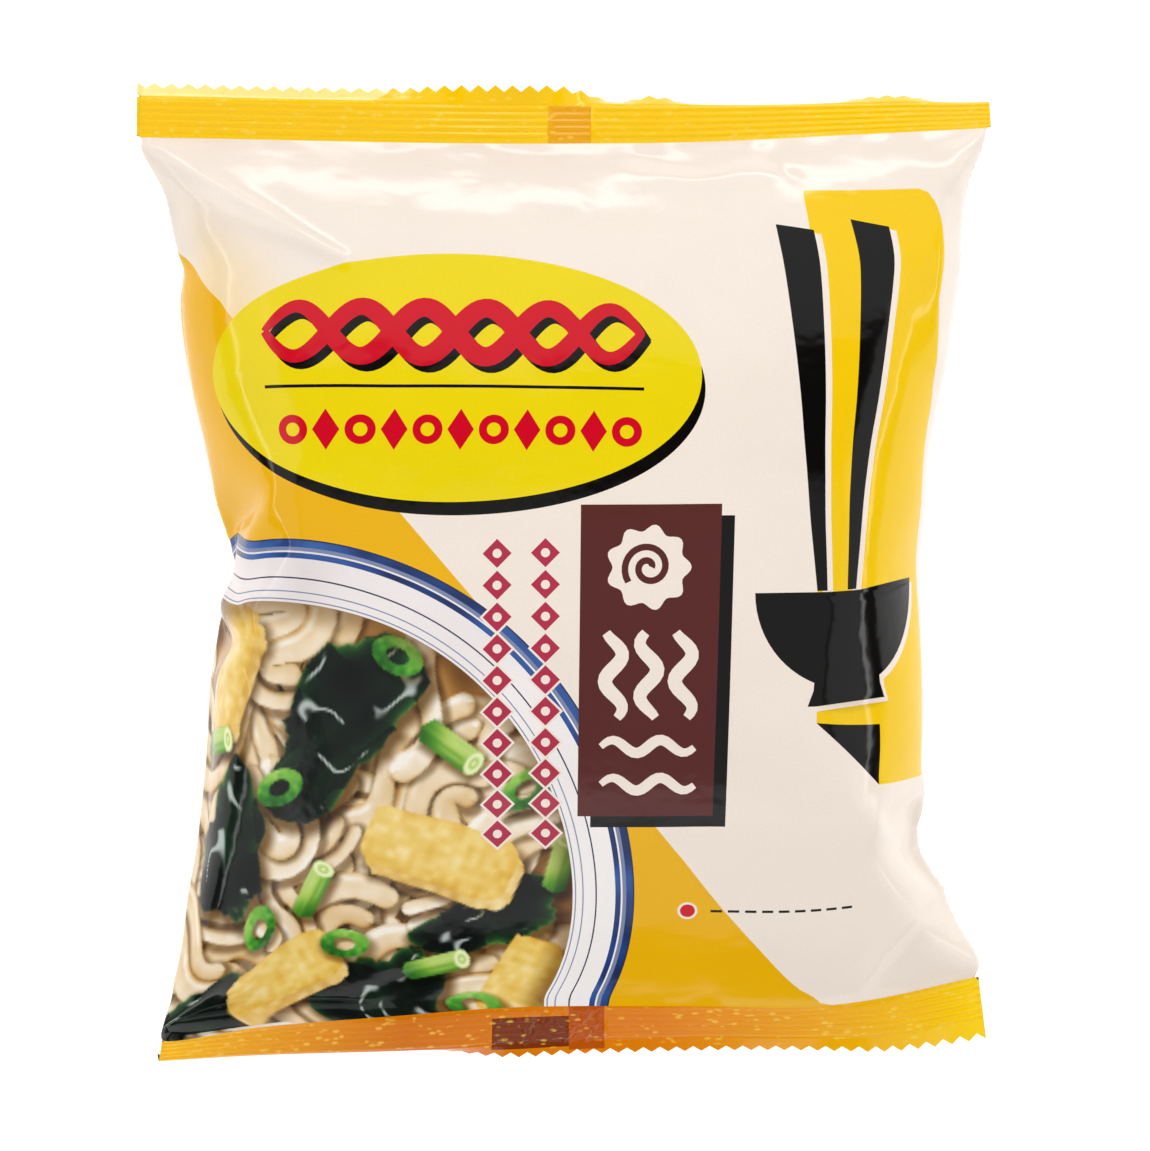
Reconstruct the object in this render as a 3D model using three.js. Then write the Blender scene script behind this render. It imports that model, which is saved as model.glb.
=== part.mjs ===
// Shut pillow pack of instant noodles, lying on its back with the printed front up.
// One solid: the film, the round noodle block and the air between them can't be seen apart.
// Millimetres. +X to the right of the front, +Y to the upper end seal, +Z up, out of the front.
import * as THREE from 'three';

// Driving sizes
const packLength = 171.5;     // from the teeth of one end seal to the teeth of the other
const packHeight = 46;        // over the noodle block
const flatSpot = 1;           // how far the round back is pressed flat where it rests

// End seals: a crimped band with ribs along X, then a plain margin cut to a zigzag
const bandDepth = 7.4;
const marginDepth = 3.1;
const sealThickness = 0.6;
const ribCount = 6;
const ribHeight = 0.15;
const toothPitch = 3;
const toothDepth = 1.2;
const upperDroop = 2;         // how far the cut edges hang below the middle of the pack
const lowerDroop = 6;
const droopStart = 58;        // distance from the middle of the pack at which the droop starts

// Fin: the lengthways seal, folded flat against the back; the pack rests on it
const finLeft = -6.5;
const finRight = 5.5;
const finThickness = 0.5;
const finStep = 0.4;          // width over which its two edges step down

// How full the pack is, as powers of its curves
const fillAlong = 3.2;        // flatness of the middle, from seal to seal
const fillSlope = 1.35;       // steepness of the slope down to a seal
const roundSection = 2;       // section beside a seal: an ellipse
const fullSection = 2.9;      // section over the noodle block: a rounded box

// Half widths of the outline at stations along Y: wide seals, a waist, a dent in the left side
const stations = [-86, -74, -66, -56, -48, -34, -18, -4, 2, 30, 55, 67, 78, 86];
const leftWidths = [70.9, 70, 68.4, 66.9, 66, 63.8, 62.4, 59.6, 57.8, 63.1, 67.9, 70.2, 74.6, 75];
const rightWidths = [74.6, 74.2, 71.4, 67.6, 63.9, 63.5, 63, 62.5, 62.4, 65.6, 69.4, 71, 74, 75];

// Creases and dents of the front: two ends, depth, and the width over which each fades out
const creases = [
  { from: [-72, 72], to: [-40, 55], depth: 1.6, width: 5 },
  { from: [72, 74], to: [64, 50], depth: 2.2, width: 5 },
  { from: [10, 72], to: [34, 60], depth: 1.2, width: 6 },
  { from: [-58, 0], to: [-48, -6], depth: 2.4, width: 6 },
  { from: [60, 36], to: [64, 30], depth: 2, width: 6 },
  { from: [72, -70], to: [50, -46], depth: 2.4, width: 6 },
  { from: [-68, -70], to: [-50, -56], depth: 1.4, width: 6 },
];

// Fineness of the mesh
const sideColumns = 13;       // from the middle line to either side
const endRows = 17;           // from the middle line to either band

const bandEnd = packLength / 2 - marginDepth;
const bandStart = bandEnd - bandDepth;
const restLift = finThickness;
const halfHeight = (packHeight + flatSpot - restLift) / 2;
const middleHeight = packHeight - halfHeight;

function curveThrough(values) {
  const curve = new THREE.CubicInterpolant(stations, values, 1, new Float64Array(1));
  return (y) => curve.evaluate(y)[0];
}

const leftWidth = curveThrough(leftWidths);
const rightWidth = curveThrough(rightWidths);

// 1 in the middle of the pack, 0 at the end seals
function fullness(y) {
  const along = Math.min(Math.abs(y) / bandStart, 1);
  return (1 - along ** fillAlong) ** (1 / fillSlope);
}

// The crimp bends both layers of a band together
function ribWave(y) {
  const intoBand = Math.abs(y) - bandStart;
  if (intoBand < 0 || intoBand > bandDepth) return 0;
  return ribHeight * Math.sin((2 * Math.PI * ribCount * intoBand) / bandDepth);
}

// Height of the surface that halves the pack; it hangs down towards both ends
function middleSurface(y) {
  const hang = Math.max(0, Math.abs(y) - droopStart) / (packLength / 2 - droopStart);
  return middleHeight - (y > 0 ? upperDroop : lowerDroop) * hang ** 2 + ribWave(y);
}

function distanceToSegment(x, y, from, to) {
  const along = new THREE.Vector2(to[0] - from[0], to[1] - from[1]);
  const offset = new THREE.Vector2(x - from[0], y - from[1]);
  const share = THREE.MathUtils.clamp(offset.dot(along) / along.lengthSq(), 0, 1);
  return offset.addScaledVector(along, -share).length();
}

function creaseDepth(x, y) {
  return creases.reduce((sum, { from, to, depth, width }) => {
    const distance = distanceToSegment(x, y, from, to);
    return sum + depth * Math.exp(-((distance / width) ** 2));
  }, 0);
}

// Half the thickness of the contents at a point: a superellipse over the width of the pack
function contentsThickness(x, y) {
  const share = Math.min(Math.abs(x) / (x < 0 ? leftWidth(y) : rightWidth(y)), 1);
  const power = roundSection + (fullSection - roundSection) * fullness(y);
  return (1 - share ** power) ** (1 / power) * (halfHeight - sealThickness / 2) * fullness(y);
}

function frontHeight(x, y) {
  const thickness = contentsThickness(x, y);
  const pressedIn = Math.min(creaseDepth(x, y), thickness / 2);
  return middleSurface(y) + sealThickness / 2 + thickness - pressedIn;
}

function backHeight(x, y) {
  const back = middleSurface(y) - sealThickness / 2 - contentsThickness(x, y);
  const onFin = x >= finLeft && x <= finRight;
  return Math.max(back, restLift) - (onFin ? finThickness : 0);
}

const positions = [];
const triangles = [];

function addPoint(x, y, z) {
  positions.push(x, y, z);
  return positions.length / 3 - 1;
}

// A row goes across the pack, once over the front and once under the back.
// Both chains share the two side points. A point's share, -1 to 1, is its place in the width.
function addRow(frontPoints, backPoints) {
  const chain = (points, height) => points.map(([x, y], place) => {
    const atSide = place === 0 || place === points.length - 1;
    const share = x / (x < 0 ? leftWidth(y) : rightWidth(y));
    return { share, corner: addPoint(x, y, atSide ? middleSurface(y) : height(x, y)) };
  });
  const front = chain(frontPoints, frontHeight);
  const inner = chain(backPoints, backHeight).slice(1, -1);
  return { front, back: [front[0], ...inner, front[front.length - 1]] };
}

// The columns stand closer together towards the round sides; the back has one at each fin edge
function bodyRow(y) {
  const xs = [];
  for (let column = -sideColumns; column <= sideColumns; column += 1) {
    const share = Math.sin((Math.PI / 2) * (column / sideColumns));
    xs.push(share * (share < 0 ? leftWidth(y) : rightWidth(y)));
  }
  const leftOfFin = xs.filter((x) => x < finLeft - finStep);
  const rightOfFin = xs.filter((x) => x > finRight + finStep);
  const fin = [finLeft - finStep, finLeft, finRight, finRight + finStep];
  const withY = (x) => [x, y];
  return addRow(xs.map(withY), [...leftOfFin, ...fin, ...rightOfFin].map(withY));
}

// The cut edge is a zigzag from side to side, the same on both layers
function cutRow(end) {
  const tip = (end * packLength) / 2;
  const width = leftWidth(tip) + rightWidth(tip);
  const steps = 2 * Math.round(width / toothPitch);
  const points = [];
  for (let step = 0; step <= steps; step += 1) {
    points.push([(width * step) / steps - leftWidth(tip), tip - end * toothDepth * (step % 2)]);
  }
  return addRow(points, points);
}

function addTriangle(a, b, c) {
  if (a !== b && b !== c && c !== a) triangles.push(a, b, c);
}

// Joins two chains that run the same way, however many points each has
function joinChains(lower, upper) {
  let [a, b] = [0, 0];
  while (a < lower.length - 1 || b < upper.length - 1) {
    const onUpper = a === lower.length - 1
      || (b < upper.length - 1 && upper[b + 1].share < lower[a + 1].share);
    const next = onUpper ? upper[b + 1] : lower[a + 1];
    addTriangle(lower[a].corner, next.corner, upper[b].corner);
    if (onUpper) b += 1;
    else a += 1;
  }
}

function joinRows(lower, upper) {
  joinChains(lower.front, upper.front);
  joinChains(upper.back, lower.back);
}

function ribRows(end) {
  const rows = [];
  for (let quarter = 1; quarter < 4 * ribCount; quarter += 2) {
    rows.push(bodyRow(end * (bandStart + (bandDepth * quarter) / (4 * ribCount))));
  }
  return rows;
}

function bodyRows() {
  const rows = [];
  for (let row = -endRows; row <= endRows; row += 1) {
    rows.push(bodyRow(bandStart * Math.sin((Math.PI / 2) * (row / endRows))));
  }
  return rows;
}

function packGeometry() {
  const rows = [
    cutRow(-1),
    bodyRow(-bandEnd),
    ...ribRows(-1).reverse(),
    ...bodyRows(),
    ...ribRows(1),
    bodyRow(bandEnd),
    cutRow(1),
  ];
  rows.slice(1).forEach((row, place) => joinRows(rows[place], row));
  const [lowerCut, upperCut] = [rows[0], rows[rows.length - 1]];
  joinChains(lowerCut.back, lowerCut.front);
  joinChains(upperCut.front, upperCut.back);

  const geometry = new THREE.BufferGeometry();
  geometry.setAttribute('position', new THREE.Float32BufferAttribute(positions, 3));
  geometry.setIndex(triangles);
  geometry.computeBoundingBox();
  const { min, max } = geometry.boundingBox;
  geometry.translate(-(min.x + max.x) / 2, -(min.y + max.y) / 2, -min.z);
  geometry.computeVertexNormals();
  return geometry;
}

const film = new THREE.MeshStandardMaterial({ color: '#f6ece4', roughness: 0.28, metalness: 0 });
const noodlePack = new THREE.Mesh(packGeometry(), film);
noodlePack.name = 'noodle_pack';

const group = new THREE.Group();
group.add(noodlePack);

export default group;
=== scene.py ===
import math

import bpy
import numpy as np
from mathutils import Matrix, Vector, geometry


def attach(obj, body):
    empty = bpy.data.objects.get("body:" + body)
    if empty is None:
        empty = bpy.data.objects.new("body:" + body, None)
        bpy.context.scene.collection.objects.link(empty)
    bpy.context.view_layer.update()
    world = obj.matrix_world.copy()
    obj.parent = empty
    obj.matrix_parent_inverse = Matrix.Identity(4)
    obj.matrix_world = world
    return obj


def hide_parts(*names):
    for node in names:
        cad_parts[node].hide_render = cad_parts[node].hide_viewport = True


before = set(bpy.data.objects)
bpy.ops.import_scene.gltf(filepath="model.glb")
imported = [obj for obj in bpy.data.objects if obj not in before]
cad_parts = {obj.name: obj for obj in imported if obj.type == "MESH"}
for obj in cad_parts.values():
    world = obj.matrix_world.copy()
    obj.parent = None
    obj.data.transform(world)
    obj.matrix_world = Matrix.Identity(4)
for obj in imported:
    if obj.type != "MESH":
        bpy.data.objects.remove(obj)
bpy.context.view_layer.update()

# Pillow pack of instant noodles: printed film round a noodle block, lying on its back.
# Sizes are in millimetres here and become metres when a mesh is made.
# X goes right, Y to the upper seal, Z up out of the front; the table is z = 0.
mm = 0.001

pack = {
    "tubeWidth": 150,  # the film tube laid flat
    "filmLength": 164,  # printed length between the crimped bands
    "slackSides": 9,  # film to spare over the way from seal to seal, at the sides
    "slackMiddle": 13,
    "restHeight": 22.5,  # seal lines above the table
    "startHeight": 23,  # half height of the tube before air comes in
    "startRounding": (3.2, 0.74),  # how it rounds up from its flat ends
    "startWaist": (0.17, 1.6),  # how much narrower it is halfway, and how soon
    "startWobble": (0.5, 16, 5),  # lumps that let folds form: height, size, seed
    "clothCell": 2,  # grid of the cloth
    "gridStep": 0.5,  # grid of the finished surface
    "blockRadius": 54,  # noodle block inside
    "blockHeight": 34,
    "blockRounding": 14,
    "blockPlace": (0, -3),
    "air": 5.0,  # pressure of the air sealed in
    "steps": 50,  # cloth steps until it lies still
    "quickSteps": 14,
}

# Where the film enters each crimped band, as seen from the front.
# share runs 0 to 1 from left to right, drop is below restHeight, tilts are degrees below level.
upperSeal = {
    "end": 1, "left": -74.9, "right": 75.0, "flare": 0.0,
    "bandDepth": 7.2, "marginDepth": 3.2,
    "share": [0, 0.5, 0.66, 0.83, 1],
    "y": [76.5, 75.4, 75.7, 76.9, 78.2],
    "drop": [0, 0, 0.3, 0.6, 0.5],
    "tiltShare": [0, 0.27, 0.32, 0.37, 0.49, 0.52, 0.56, 0.6, 0.66, 0.8, 0.85, 0.91, 0.95, 1],
    "bandTilt": [5, 6, 6, 8, 8, 10, 12, 14, 18, 30, 34, 38, 42, 45],
    "marginTilt": [37, 38, 34, 8, 4, 40, 82, 60, 96, 100, 72, 70, 95, 100],
}
lowerSeal = {
    "end": -1, "left": -70.9, "right": 72.7, "flare": 1.4,
    "bandDepth": 7.8, "marginDepth": 3.2,
    "share": [0, 0.11, 0.29, 0.41, 0.65, 0.81, 0.86, 1],
    "y": [-82.4, -80.1, -77.7, -76.3, -75.9, -75.9, -75.0, -70.6],
    "drop": [8, 5, 1.5, 0.6, 0, 0, 0, -1],
    "tiltShare": [0, 0.11, 0.29, 0.36, 0.42, 0.52, 0.65, 0.81, 0.9, 1],
    "bandTilt": [56, 46, 32, 28, 30, 36, 41, 41, 24, 4],
    "marginTilt": [112, 108, 100, 78, 44, 40, 42, 42, 24, 6],
}
crimp = {
    "ribs": 6,  # lengthways ribs in a band
    "ribHeight": 0.11,
    "toothPitch": 3.0,
    "toothDepth": 1.2,
    "weld": 0.09,  # half the thickness of the welded layers
}

fin = {
    "left": 219.5,  # film places of its two edges, on the back
    "right": 231.5,
    "intoBands": 9.0,
    "thickness": 0.35,
    "gap": 0.03,  # between it and the back
    "step": 1.0,
    "columns": 13,
    "ink": "#E9A216",
}

# Outline that the photograph shows, at stations along Y
outline = {
    "y": [-78, -74, -70, -66, -60, -56, -52, -49, -44, -33, -22, -12, -6, -3, -1, 1, 4,
          12, 22, 33, 44, 50, 55, 64, 68, 74, 77],
    "left": [-70.2, -69.3, -68.6, -67.9, -67.2, -66.7, -66, -65.4, -64.8, -63.5, -62.7, -61.6,
             -60.6, -59.4, -58.2, -57.9, -58.6, -60.8, -62.8, -65.4, -67.0, -67.4, -68.3, -70.2,
             -71.3, -73.9, -75.2],
    "right": [74.4, 73.6, 72.8, 71.6, 69.2, 67.4, 64.9, 63.5, 63.5, 63.4, 63.1, 62.8, 62.7, 62.6,
              62.6, 62.6, 62.8, 63.6, 64.4, 66.6, 68.2, 69.2, 70, 70.9, 71.6, 73.6, 74.6],
    "softStart": 0.45,  # share of the half width at which the film starts to follow
    "spare": 0.7,  # no film lies further out than this
    # how far the front reaches out over the sides before it turns down
    "shoulderY": [-50, -20, 0, 22, 45, 62, 76],
    "shoulderLeft": [0, 0, 0, 2, 3, 2.5, 0],
    "shoulderRight": [0, 2, 3.5, 4.5, 5, 3.5, 0],
    "shoulderStart": 0.55,
}

# Where the film lies taut: middle, half sizes (seen from above) and rounds of smoothing
taut = [(56, 40, 24, 34, 60), (-56, 38, 20, 26, 60), (58, -12, 16, 26, 25)]

# Folds pressed into the front: points seen from above, height (- is a valley), width, sharpness
folds = [
    ([(-74, 75), (-57, 65.4), (-38, 54.5)], 0.9, 1.6, 1.5),
    ([(-70, 70), (-58, 62.2), (-38, 54.5)], 0.5, 1.3, 1.5),
    ([(73.5, 77), (66, 66.5), (64.8, 50), (64.4, 37)], 0.8, 1.8, 1.5),
    ([(50, -75.5), (55, -67), (62, -58.5), (67, -54)], 1.0, 1.8, 1.5),
    ([(10, 70), (24, 68.5), (40, 71)], 0.6, 2.4, 1.6),
    ([(-58.5, -1), (-56, -8), (-52.8, -16.5)], -0.9, 1.5, 1.5),
    ([(14, 73), (22, 71)], -0.4, 1.6, 1.6),
    ([(34, 73.5), (41, 69)], -0.4, 1.6, 1.6),
]
unevenness = {
    "lumps": [(0.10, 9, 21), (0.16, 21, 22)],  # height, size, seed
    "puckers": (0.35, 5, 23),  # the same, beside the bands
    "puckerReach": 6,
    "layerGap": 1.6,  # least room between front and back, away from the bands
    "sag": 2.2,  # how much lower the back hangs just inside the bands
}


def smoothCurve(stations, values, at):
    # smooth curve through the stations, level past both ends
    x, y, at = (np.asarray(part, float) for part in (stations, values, at))
    slope = np.gradient(y, x)
    k = np.clip(np.searchsorted(x, at) - 1, 0, len(x) - 2)
    width = x[k + 1] - x[k]
    t = np.clip((at - x[k]) / width, 0, 1)
    a, b = slope[k] * width, slope[k + 1] * width
    return (y[k] * (1 + 2 * t) * (1 - t) ** 2 + a * t * (1 - t) ** 2
            + y[k + 1] * t * t * (3 - 2 * t) - b * t * t * (1 - t))


def smoothStep(low, high, value):
    t = np.clip((value - low) / (high - low), 0, 1)
    return t * t * (3 - 2 * t)


def bilinear(pick, tx, ty):
    # blends the four grid points round a place
    low, high = (pick(0, k) * (1 - tx) + pick(1, k) * tx for k in (0, 1))
    return low * (1 - ty) + high * ty


def softNoise(x, y, size, seed):
    # smooth random field, about -1 to 1, with lumps of the given size
    grid = np.random.default_rng(seed).uniform(-1, 1, (64, 64))
    gx, gy = np.asarray(x) / size, np.asarray(y) / size
    ix, iy = np.floor(gx).astype(int), np.floor(gy).astype(int)
    tx, ty = smoothStep(0, 1, gx - ix), smoothStep(0, 1, gy - iy)
    return bilinear(lambda a, b: grid[(iy + b) % 64, (ix + a) % 64], tx, ty)


def nearestOnPath(x, y, path):
    # distance to a path, the side it lies on, and how far along, 0 to 1
    near = np.full(np.shape(x), 1e9)
    side, along = np.zeros(np.shape(x)), np.zeros(np.shape(x))
    for k in range(len(path) - 1):
        (ax, ay), (bx, by) = path[k], path[k + 1]
        dx, dy = bx - ax, by - ay
        t = np.clip(((x - ax) * dx + (y - ay) * dy) / (dx * dx + dy * dy), 0, 1)
        ex, ey = x - ax - t * dx, y - ay - t * dy
        d = np.hypot(ex, ey)
        closer = d < near
        near = np.where(closer, d, near)
        side = np.where(closer, np.sign(dx * ey - dy * ex) * d, side)
        along = np.where(closer, (k + t) / (len(path) - 1), along)
    return near, side, along


def sealPoint(seal, share):
    # the line where the film enters a band; share 0 to 1 from left to right
    x = seal["left"] + (seal["right"] - seal["left"]) * share
    y = smoothCurve(seal["share"], seal["y"], share)
    z = pack["restHeight"] - smoothCurve(seal["share"], seal["drop"], share)
    return np.stack([x, y, z], -1)


def bandLength(seal):
    return seal["bandDepth"] + seal["marginDepth"]


def tubeFaces(index):
    # faces between the rows of a tube; corners that coincide are taken once
    after = np.roll(index, -1, 1)
    quads = np.stack([index[:-1], after[:-1], after[1:], index[1:]], -1).reshape(-1, 4)
    return [list(dict.fromkeys(quad)) for quad in quads.tolist()]


def noodleBlock(scale):
    # round block with soft edges that holds the film open while it is shaped
    radius, half, soft = pack["blockRadius"], pack["blockHeight"] / 2, pack["blockRounding"]
    rings, around = 20, 48
    profile = [(0.0, -half)]
    for k in range(rings + 1):
        turn = -math.pi / 2 + math.pi * k / rings
        middle = math.copysign(half - soft, turn) if abs(turn) > 1e-6 else 0
        profile.append((radius - soft + soft * math.cos(turn), middle + soft * math.sin(turn)))
    profile.append((0.0, half))
    verts, rows = [], []
    for r, z in profile:
        count = 1 if r == 0 else around
        rows.append([len(verts) + k % count for k in range(around)])
        for k in range(count):
            turn = 2 * math.pi * k / around
            verts.append(((pack["blockPlace"][0] + r * math.cos(turn)) * scale,
                          (pack["blockPlace"][1] + r * math.sin(turn)) * scale, z * scale))
    return addObject("shapingBlock", verts, tubeFaces(np.array(rows)))


def addObject(name, verts, faces):
    mesh = bpy.data.meshes.new(name)
    mesh.from_pydata([tuple(v) for v in verts], [], [tuple(f) for f in faces])
    mesh.update()
    thing = bpy.data.objects.new(name, mesh)
    bpy.context.scene.collection.objects.link(thing)
    return thing


def archAngle(share):
    # half the angle of an arc as long as the film, over the straight way from seal to seal
    low, high = sealPoint(lowerSeal, share), sealPoint(upperSeal, share)
    chord = np.hypot(high[:, 1] - low[:, 1], high[:, 2] - low[:, 2])
    slack = pack["slackSides"] + (pack["slackMiddle"] - pack["slackSides"]) * np.sin(np.pi * share)
    angle = np.full(len(share), 0.8)  # a first guess, corrected step by step
    for _ in range(20):
        miss = np.sin(angle) / angle - chord / (chord + slack)
        angle -= miss / ((np.cos(angle) * angle - np.sin(angle)) / angle ** 2)
    return angle, (chord + slack) / (2 * angle)


def squareSheet(name, far, z):
    return addObject(name, [(-far, -far, z), (far, -far, z), (far, far, z), (-far, far, z)], [(0, 1, 2, 3)])


def roundedSection(share, full):
    # half of a section across the pack, its points evenly spaced along the film
    turn = np.linspace(0, np.pi, 721)
    power = 2 / (2 + 0.9 * full)
    x = -pack["tubeWidth"] / 2 * np.sign(np.cos(turn)) * np.abs(np.cos(turn)) ** power
    z = pack["startHeight"] * full * np.sin(turn) ** power
    length = np.concatenate([[0], np.cumsum(np.hypot(np.diff(x), np.diff(z)))])
    return np.interp(share, length / length[-1], x), np.interp(share, length / length[-1], z)


def startShapes(along, around):
    # the film tube as the cloth starts, and its true lengths: the flat tube, bent to one arc
    half = around // 2
    column = np.arange(around)
    share = np.minimum(column, around - column) / half
    layer = np.where(column <= half, 1, -1)
    low, high = sealPoint(lowerSeal, share), sealPoint(upperSeal, share)
    angle, radius = archAngle(share)
    seatedLow, seatedHigh = low - (0, 0, pack["restHeight"]), high - (0, 0, pack["restHeight"])
    steep, blunt = pack["startRounding"]
    narrow, soon = pack["startWaist"]
    height, size, seed = pack["startWobble"]
    place = np.zeros((along + 1, around, 3))
    flat = np.zeros((along + 1, around, 3))
    for j in range(along + 1):
        t = j / along
        full = (1 - abs(2 * t - 1) ** steep) ** blunt
        waist = 1 - narrow * (1 - abs(2 * t - 1) ** soon)
        line = seatedLow * (1 - t) + seatedHigh * t
        x, z = roundedSection(share, full)
        place[j, :, 0] = (line[:, 0] * (1 - full) + x * full) * waist
        place[j, :, 1] = line[:, 1]
        place[j, :, 2] = line[:, 2] + z * layer
        wobble = softNoise(place[j, :, 0] + 90, place[j, :, 1] + 90 + 40 * np.sign(z * layer), size, seed)
        place[j, :, 2] += height * wobble * full
        turn = angle * (2 * t - 1)
        flat[j, :, 0] = (share - 0.5) * pack["tubeWidth"]
        flat[j, :, 1] = (low[:, 1] + high[:, 1]) / 2 + radius * np.sin(turn)
        flat[j, :, 2] = line[:, 2] + radius * (np.cos(turn) - np.cos(angle))
        flat[j, 1:half, 2] += 0.2  # a hair apart, so the two layers don't coincide
        flat[j, half + 1:, 2] -= 0.2
    for shape in (place, flat):
        shape[0], shape[along] = seatedLow, seatedHigh
    return place.reshape(-1, 3), flat.reshape(-1, 3)


def fillFilm():
    # Air is blown into a film tube round the noodle block, with both ends held in their bands.
    # The second shape key holds the film's true lengths.
    # The cloth is worked ten times as large, where its solver is steady.
    scale = 0.01
    around = round(2 * pack["tubeWidth"] / pack["clothCell"])
    half = around // 2
    along = round(pack["filmLength"] / pack["clothCell"])
    place, flat = startShapes(along, around)
    index = np.arange((along + 1) * around).reshape(along + 1, around)
    for j in (0, along):  # front and back share the points of a band
        index[j, half + 1:] = index[j, 1:half][::-1]
    used, compact = np.unique(index, return_inverse=True)
    compact = compact.reshape(index.shape)
    film = addObject("shapingFilm", place[used] * scale, tubeFaces(compact))
    film.shape_key_add(name="Basis")
    cut = film.shape_key_add(name="trueLengths")
    for point, co in zip(cut.data, flat[used] * scale):
        point.co = co
    for value, time in ((0, 1), (1, 10)):
        cut.value = value
        cut.keyframe_insert("value", frame=time)
    held = film.vertex_groups.new(name="held")
    held.add(np.unique(compact[[0, along]]).tolist(), 1.0, "REPLACE")

    helpers = [noodleBlock(scale), squareSheet("shapingTable", 200 * scale, -pack["restHeight"] * scale)]
    for helper in helpers:
        helper.modifiers.new("touch", "COLLISION")
        helper.collision.thickness_outer = 0.005
        helper.collision.damping = 0.5
        helper.collision.cloth_friction = 5
    cloth = film.modifiers.new("filling", "CLOTH")
    wanted = {
        "quality": 8, "mass": 0.15, "air_damping": 1.0, "tension_stiffness": 80, "compression_stiffness": 80,
        "shear_stiffness": 40, "bending_stiffness": 12, "tension_damping": 5, "compression_damping": 5,
        "shear_damping": 5, "bending_damping": 0.5, "use_pressure": True,
        "uniform_pressure_force": pack["air"], "vertex_group_mass": "held", "use_dynamic_mesh": True,
    }
    for key, value in wanted.items():
        setattr(cloth.settings, key, value)
    cloth.settings.effector_weights.gravity = 0
    cloth.collision_settings.collision_quality = 3
    cloth.collision_settings.distance_min = 0.005
    steps = pack["steps"]
    cloth.point_cache.frame_start, cloth.point_cache.frame_end = 1, steps + 1
    stage = bpy.context.scene
    for step in range(1, steps + 1):
        stage.frame_set(step)
    settled = film.evaluated_get(bpy.context.evaluated_depsgraph_get()).to_mesh()
    points = np.empty(len(settled.vertices) * 3)
    settled.vertices.foreach_get("co", points)
    stage.frame_set(1)
    for thing in [film, *helpers]:
        mesh = thing.data
        bpy.data.objects.remove(thing)
        bpy.data.meshes.remove(mesh)
    for action in list(bpy.data.actions):
        bpy.data.actions.remove(action)
    return points.reshape(-1, 3)[compact] / scale + (0, 0, pack["restHeight"])


def tighten(grid):
    # draws the small folds out of the front where it lies taut
    for x, y, reachX, reachY, rounds in taut:
        for _ in range(rounds):
            far = ((grid[..., 0] - x) / reachX) ** 2 + ((grid[..., 1] - y) / reachY) ** 2
            share = smoothStep(1.0, 0.4, far) * smoothStep(-8, 0, grid[..., 2] - pack["restHeight"])
            mean = (np.roll(grid, 1, 1) + np.roll(grid, -1, 1))[1:-1] + grid[:-2] + grid[2:]
            grid[1:-1] += 0.5 * share[1:-1, :, None] * (mean / 4 - grid[1:-1])
    return grid


def matchOutline(grid):
    # pulls the sides in or out to the outline seen from the front
    x, y = grid[..., 0], grid[..., 1]
    stations = np.arange(-78, 78.1, 2.0)
    row = np.arange(len(grid))[:, None]
    keepEnds = smoothStep(0, 5, np.minimum(row, row[::-1]))
    for side, key in ((-1, "left"), (1, "right")):
        reach = np.array([np.max(side * x[np.abs(y - s) < 1.6], initial=0) for s in stations])
        reach = np.convolve(np.pad(reach, 1, "edge"), [0.25, 0.5, 0.25], "valid")
        wanted = side * smoothCurve(outline["y"], outline[key], y)
        now = np.interp(y, stations, reach)
        share = side * x / now
        pull = smoothStep(outline["softStart"], 1.0, share) * (share > 0)
        x += side * pull * keepEnds * (wanted - now)
        x -= side * np.maximum(side * x - wanted - outline["spare"], 0)
    return grid


def resample(grid, count, axis, wrap):
    # soft curve along the rows, sampled count times between neighbours
    grid = np.moveaxis(grid, axis, 0)
    if wrap:
        padded = np.concatenate([grid[-1:], grid, grid[:2]])
    else:
        padded = np.concatenate([2 * grid[:1] - grid[1:2], grid, 2 * grid[-1:] - grid[-2:-1]])
    rows = len(padded) - 3
    parts = []
    for t in np.arange(count) / count:
        weights = ((1 - t) ** 3, 3 * t ** 3 - 6 * t * t + 4, 1 + 3 * t + 3 * t * t - 3 * t ** 3, t ** 3)
        parts.append(sum(w * padded[k:k + rows] for k, w in enumerate(weights)) / 6)
    fine = np.stack(parts, 1).reshape(-1, *grid.shape[1:])
    if not wrap:
        fine = np.concatenate([fine, grid[-1:]])
    return np.moveaxis(fine, 0, axis)


def fillShoulders(grid):
    # The print stays where it is seen from above; the heights under it move towards the sides,
    # so the front stays level further out and then turns down more steeply.
    half = grid.shape[1] // 2
    front = grid[:, :half + 1]
    x, y = front[..., 0], front[..., 1]
    column = np.arange(half + 1) + 0 * x
    for side, key in ((-1, "Left"), (1, "Right")):
        share = x / smoothCurve(outline["y"], outline[key.lower()], y)
        overSide = np.clip((share - outline["shoulderStart"]) / (1 - outline["shoulderStart"]), 0, 1)
        reachOut = smoothCurve(outline["shoulderY"], outline["shoulder" + key], y)
        column -= side * reachOut * np.sin(np.pi * overSide) ** 2 / pack["gridStep"]
    for row, places in zip(front, column):
        for k in (1, 2):
            row[:, k] = np.interp(places, np.arange(half + 1), row[:, k].copy())
    return grid


def gridNormals(grid):
    normal = np.cross(np.roll(grid, -1, 1) - np.roll(grid, 1, 1), np.gradient(grid, axis=0))
    return normal / np.maximum(np.linalg.norm(normal, axis=-1, keepdims=True), 1e-9)


def fromEnds(count):
    # distance from the nearer end of a row of grid points
    k = np.arange(count)
    return np.minimum(k, k[::-1]) * pack["gridStep"]


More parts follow.
